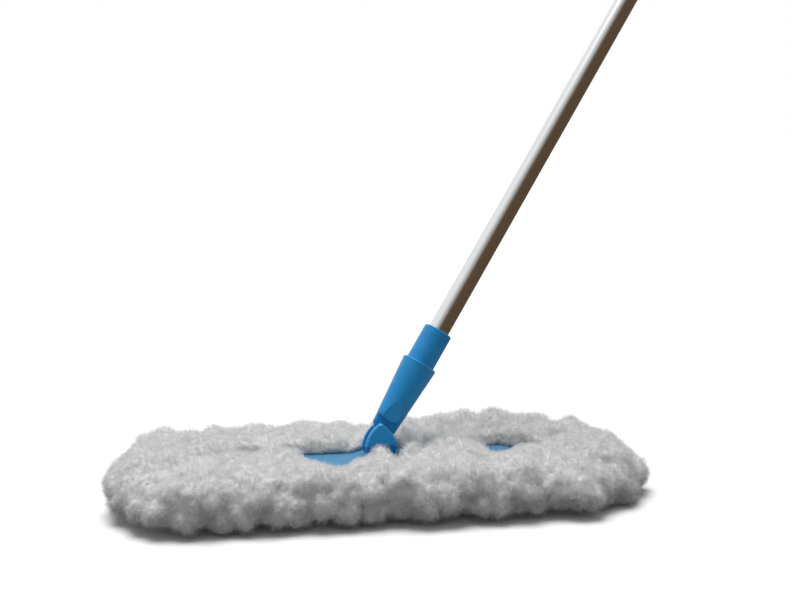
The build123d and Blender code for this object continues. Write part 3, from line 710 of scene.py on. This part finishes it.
# Tufts stand along the ground's normal, turned by a shared lean, their own weight and some chance.
BARE = 0.01
LOOSE_LEAN = 0.5
TUFT_SIZES = (0.7, 1.3)
pile = bpy.data.node_groups.new("standing pile", "GeometryNodeTree")
pile.interface.new_socket("Geometry", in_out="INPUT", socket_type="NodeSocketGeometry")
for label in ("Tuft gap", "Density", "Lean size", "Lean", "Floor"):
    pile.interface.new_socket(label, in_out="INPUT", socket_type="NodeSocketFloat")
pile.interface.new_socket("Seed", in_out="INPUT", socket_type="NodeSocketInt")
pile.interface.new_socket("Tufts", in_out="INPUT", socket_type="NodeSocketCollection")
pile.interface.new_socket("Fibre", in_out="INPUT", socket_type="NodeSocketMaterial")
pile.interface.new_socket("Geometry", in_out="OUTPUT", socket_type="NodeSocketGeometry")
given = add_node(pile, "NodeGroupInput").outputs
cover = add_node(pile, "GeometryNodeInputNamedAttribute", {"Name": "cover"}, data_type="FLOAT")
tall = add_node(pile, "GeometryNodeInputNamedAttribute", {"Name": "tall"}, data_type="FLOAT")
bare = add_node(pile, "FunctionNodeCompare", {0: cover.outputs["Attribute"], 1: BARE}, operation="LESS_THAN")
grown_over = add_node(pile, "GeometryNodeDeleteGeometry", {
    "Geometry": given["Geometry"], "Selection": bare.outputs["Result"]}, domain="FACE")
roots = add_node(pile, "GeometryNodeDistributePointsOnFaces", {
    "Mesh": grown_over.outputs["Geometry"], "Distance Min": given["Tuft gap"],
    "Density Max": given["Density"], "Density Factor": cover.outputs["Attribute"],
    "Seed": given["Seed"]}, distribute_method="POISSON")
spot = add_node(pile, "GeometryNodeInputPosition").outputs["Position"]
lean_rate = add_node(pile, "ShaderNodeMath", {0: 1.0, 1: given["Lean size"]}, operation="DIVIDE")
drift = add_node(pile, "ShaderNodeTexNoise", {
    "Vector": spot, "Scale": lean_rate.outputs[0], "Detail": 2.0})
drift = add_node(pile, "ShaderNodeVectorMath", {
    0: drift.outputs["Color"], 1: (0.5, 0.5, 0.5)}, operation="SUBTRACT")
lean = add_node(pile, "ShaderNodeVectorMath", {
    0: drift.outputs["Vector"], "Scale": given["Lean"]}, operation="SCALE")
hang = add_node(pile, "GeometryNodeInputNamedAttribute", {"Name": "hang"}, data_type="FLOAT")
drop = add_node(pile, "ShaderNodeMath", {0: hang.outputs["Attribute"], 1: -1.0}, operation="MULTIPLY")
down = add_node(pile, "ShaderNodeCombineXYZ", {"Z": drop.outputs[0]})
loose = add_node(pile, "FunctionNodeRandomValue", {
    0: (-LOOSE_LEAN,) * 3, 1: (LOOSE_LEAN,) * 3, "Seed": given["Seed"]}, data_type="FLOAT_VECTOR")
growth = roots.outputs["Normal"]
for pull in (lean.outputs["Vector"], down.outputs["Vector"], loose.outputs[0]):
    growth = add_node(pile, "ShaderNodeVectorMath", {0: growth, 1: pull}, operation="ADD").outputs["Vector"]
aim = add_node(pile, "FunctionNodeAlignRotationToVector", {"Vector": growth}, axis="Z")
spin = add_node(pile, "FunctionNodeRandomValue", {
    2: 0.0, 3: 2 * pi, "Seed": given["Seed"]}, data_type="FLOAT")
about = add_node(pile, "FunctionNodeAxisAngleToRotation", {"Axis": (0, 0, 1), "Angle": spin.outputs[1]})
turned = add_node(pile, "FunctionNodeRotateRotation", {
    "Rotation": aim.outputs["Rotation"], "Rotate By": about.outputs["Rotation"]}, rotation_space="LOCAL")
size = add_node(pile, "FunctionNodeRandomValue", {
    2: TUFT_SIZES[0], 3: TUFT_SIZES[1], "Seed": given["Seed"]}, data_type="FLOAT")
grown = add_node(pile, "ShaderNodeMath", {
    0: size.outputs[1], 1: tall.outputs["Attribute"]}, operation="MULTIPLY")
kinds = add_node(pile, "GeometryNodeCollectionInfo", {
    "Collection": given["Tufts"], "Separate Children": True, "Reset Children": True})
stood = add_node(pile, "GeometryNodeInstanceOnPoints", {
    "Points": roots.outputs["Points"], "Instance": kinds.outputs["Instances"], "Pick Instance": True,
    "Rotation": turned.outputs["Rotation"], "Scale": grown.outputs[0]})
real = add_node(pile, "GeometryNodeRealizeInstances", {"Geometry": stood.outputs["Instances"]})
spot_now = add_node(pile, "GeometryNodeInputPosition").outputs["Position"]
axes = add_node(pile, "ShaderNodeSeparateXYZ", {"Vector": spot_now})
above = add_node(pile, "ShaderNodeMath", {0: axes.outputs["Z"], 1: given["Floor"]}, operation="MAXIMUM")
pressed = add_node(pile, "ShaderNodeCombineXYZ", {
    "X": axes.outputs["X"], "Y": axes.outputs["Y"], "Z": above.outputs[0]})
laid = add_node(pile, "GeometryNodeSetPosition", {
    "Geometry": real.outputs["Geometry"], "Position": pressed.outputs["Vector"]})
dyed = add_node(pile, "GeometryNodeSetMaterial", {
    "Geometry": laid.outputs["Geometry"], "Material": given["Fibre"]})
add_node(pile, "NodeGroupOutput", {"Geometry": dyed.outputs["Geometry"]})

# The pile is made in zones, so that no piece grows too heavy. Along the lips of the slit it has a
# second, closer fringe, whose short fibres stand up from the board and hide the edge of the ground.
# No pile grows where the panels lie on the board or on each other. The limits for faces are shares
# of their normal: upwards, and towards the slit for FACES_SLIT.
BOARD_TOUCH = 0.0001
UNDER_RISE = 0.005
FACES_UP = 0.4
FACES_OUT = 0.7
FACES_SLIT = -0.2
FACES_DOWN = -0.5
FACES_FLOOR = -0.75
LEAN_SIZE = 0.016
LEAN = 1.8
HANG = 0.20
LIP_LIFT = 0.60
LIFT_BAND = (0.050, 0.056)
SHORTEST = 0.60
SHORT_BAND = (0.048, 0.060)
SOLE_TOP = 0.026
SOLE_COVER = 0.4
LIP_DEPTH = (0.011, 0.014)
LIP_TOP = 0.060
LIP_CLOSER = 1.8
ZONES = {"left": (-1.0, -0.105), "middle": (-0.105, 0.105), "right": (0.105, 1.0)}
for panel, ground in grounds.items():
    mesh = ground.data
    x, y, z = table(mesh.vertices, "co").T
    normals = table(mesh.vertex_normals, "vector")
    up = normals[:, 2]
    tall = np.ones(len(z))
    hang = np.full(len(z), HANG)
    if panel in LIPS:
        lip, way = LIPS[panel]
        inside = (abs(x) < BOARD_HALF[0]) & (abs(y) < BOARD_HALF[1])
        under = z < BOARD_TOP + UNDER_RISE
        hidden = inside & ((z < BOARD_TOP + BOARD_TOUCH) | under & (up < FACES_DOWN))
        cover = np.where(hidden | under & (up < FACES_FLOOR), 0.0, 1.0)
        tall = np.where(inside, SHORTEST + (1 - SHORTEST) * smooth_step(*SHORT_BAND, z), tall)
        lift = (HANG + LIP_LIFT) * (1 - smooth_step(*LIFT_BAND, z))
        hang = np.where(inside & (up < FACES_OUT), HANG - lift, hang)
    else:
        cover = np.where((up > FACES_UP) & (z > SOLE_TOP), 0.0, 1.0)
        cover = np.where(up < FACES_FLOOR, SOLE_COVER, cover)
    mesh.attributes.new("tall", "FLOAT", "POINT").data.foreach_set("value", tall)
    mesh.attributes.new("hang", "FLOAT", "POINT").data.foreach_set("value", hang)
    zones = {zone: np.where((x >= low) & (x < high), cover, 0.0) for zone, (low, high) in ZONES.items()}
    if panel in LIPS:
        back = way * (y - eased(x, lip))
        near = (back < LIP_DEPTH[0]) | (back < LIP_DEPTH[1]) & (way * normals[:, 1] < FACES_SLIT)
        zones["lip"] = np.where(near & (abs(x) < SLIT_HALF[0]) & (z < LIP_TOP), cover, 0.0)
    for zone, part in zones.items():
        root_mesh = mesh.copy()
        root_mesh.attributes.new("cover", "FLOAT", "POINT").data.foreach_set("value", part)
        rooted = link("roots", root_mesh)
        standing = rooted.modifiers.new("standing", "NODES")
        standing.node_group = pile
        close = LIP_CLOSER if zone == "lip" else 1.0
        set_inputs(standing, Tuft_gap=TUFT_GAP / close, Density=TUFT_DENSITY * close ** 2,
                   Lean_size=LEAN_SIZE, Lean=LEAN, Floor=FLOOR_ROOM / 2, Seed=7, Tufts=tufts, Fibre=fibre)
        fluff = link(f"{panel}_pile_{zone}", frozen(rooted))
        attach(fluff, "head")

# Studio: a wide pale floor, an even room and one broad lamp overhead.
# The floor and room are white to the camera, in reflections and through clear pieces.
# For bounced light the floor is grey, so that the lower sides of the pile lie in shade.
FLOOR_HALF = 30.0


def flat_sheet(name, across, along, level):
    """A flat rectangle between two places across and two along, at a level."""
    (left, right), (front, rear) = across, along
    mesh = bpy.data.meshes.new(name)
    corners = [(left, front, level), (right, front, level), (right, rear, level), (left, rear, level)]
    mesh.from_pydata(corners, [], [(0, 1, 2, 3)])
    return link(name, mesh)


def background_rays(tree):
    """The light path, and a value of 1 for the rays that show the background itself."""
    path = add_node(tree, "ShaderNodeLightPath").outputs
    seen = path["Is Camera Ray"]
    for kind in ("Is Glossy Ray", "Is Transmission Ray"):
        seen = add_node(tree, "ShaderNodeMath", {0: seen, 1: path[kind]}, operation="MAXIMUM").outputs[0]
    return path, seen


floor = flat_sheet("floor", (-FLOOR_HALF, FLOOR_HALF), (-FLOOR_HALF, FLOOR_HALF), 0)
pale, tree, shader = start_material("pale studio floor")
tree.nodes.clear()
path, seen = background_rays(tree)
dark = add_node(tree, "ShaderNodeBsdfDiffuse", {"Color": linear("#868587")})
white = add_node(tree, "ShaderNodeBsdfDiffuse", {"Color": linear("#FCFCFC")})
either = add_node(tree, "ShaderNodeMixShader", {
    "Fac": seen, 1: dark.outputs["BSDF"], 2: white.outputs["BSDF"]})
add_node(tree, "ShaderNodeOutputMaterial", {"Surface": either.outputs["Shader"]})
floor.data.materials.append(pale)

# Painted reflection: a glowing dark brown, seen only in reflections, gives the pole its brown half. It comes
# from a sheet on the floor to the right, and above it from the right of the room, which fades out on both
# sides.
PAINTED_REFLECTION_BROWN = "#5F4B38"
SHEET_LEVEL = 0.0004
sheet = flat_sheet("dark_sheet", (0.0, FLOOR_HALF), (-FLOOR_HALF, FLOOR_HALF), SHEET_LEVEL)
brown, tree, shader = start_material("painted reflection sheet")
tree.nodes.clear()
dull = add_node(tree, "ShaderNodeEmission", {"Color": linear(PAINTED_REFLECTION_BROWN), "Strength": 1.0})
add_node(tree, "ShaderNodeOutputMaterial", {"Surface": dull.outputs["Emission"]})
sheet.data.materials.append(brown)
sheet.visible_camera = False
sheet.visible_diffuse = False
sheet.visible_shadow = False
sheet.visible_transmission = False

# Front and right of the room, square to the leaning pole, and the turn from front to right at which the
# painted reflection starts, is full, fades and ends.
ROOM_FRONT = (-0.1086, -0.9459, 0.3058)
ROOM_RIGHT = (0.8411, -0.2514, -0.4790)
DARK_FROM = radians(-62)
DARK_FULL = radians(4)
DARK_FADES = radians(100)
DARK_GONE = radians(160)
ROOM_LIGHT = 0.32
room = bpy.data.worlds.new("room")
room.use_nodes = True
tree = room.node_tree
tree.nodes.clear()
path, seen = background_rays(tree)
level = add_node(tree, "ShaderNodeMapRange", {"Value": seen, "To Min": ROOM_LIGHT, "To Max": 1.0})
out_way = add_node(tree, "ShaderNodeTexCoord").outputs["Generated"]
across = add_node(tree, "ShaderNodeVectorMath", {0: out_way, 1: ROOM_RIGHT}, operation="DOT_PRODUCT")
toward = add_node(tree, "ShaderNodeVectorMath", {0: out_way, 1: ROOM_FRONT}, operation="DOT_PRODUCT")
turn = add_node(tree, "ShaderNodeMath", {
    0: across.outputs["Value"], 1: toward.outputs["Value"]}, operation="ARCTAN2")
dim = add_node(tree, "ShaderNodeMapRange", {
    "Value": turn.outputs[0], "From Min": DARK_FROM, "From Max": DARK_FULL})
fade = add_node(tree, "ShaderNodeMapRange", {
    "Value": turn.outputs[0], "From Min": DARK_GONE, "From Max": DARK_FADES})
side = add_node(tree, "ShaderNodeMath", {
    0: dim.outputs["Result"], 1: fade.outputs["Result"]}, operation="MULTIPLY")
# Painted reflection: the room turns dark brown only for glossy rays, on its right side.
share = add_node(tree, "ShaderNodeMath", {
    0: side.outputs[0], 1: path["Is Glossy Ray"]}, operation="MULTIPLY")
tint = add_node(tree, "ShaderNodeMix", {
    "Factor": share.outputs[0], 6: (1, 1, 1, 1), 7: linear(PAINTED_REFLECTION_BROWN)}, data_type="RGBA")
air = add_node(tree, "ShaderNodeBackground", {"Color": tint.outputs[2], "Strength": level.outputs["Result"]})
add_node(tree, "ShaderNodeOutputWorld", {"Surface": air.outputs["Background"]})
bpy.context.scene.world = room

LAMP_LEVEL = 2.66
LAMP_BREADTH = radians(40)
LAMP_TURN = (radians(-7), radians(-6), 0)
lamp = bpy.data.lights.new("overhead", "SUN")
lamp.energy = LAMP_LEVEL
lamp.angle = LAMP_BREADTH
overhead = bpy.data.objects.new("overhead", lamp)
overhead.rotation_euler = LAMP_TURN
bpy.context.scene.collection.objects.link(overhead)

CAMERA_PLACE = (-0.149, -1.1315, 0.4038)
CAMERA_TURN = (radians(80.394), 0, radians(-8.351))
LENS = 49.0
view = bpy.data.cameras.new("camera")
view.lens = LENS
view.clip_end = 100
camera = bpy.data.objects.new("camera", view)
camera.location = CAMERA_PLACE
camera.rotation_euler = CAMERA_TURN
bpy.context.scene.collection.objects.link(camera)
bpy.context.scene.camera = camera
bpy.context.scene.view_settings.view_transform = "Standard"
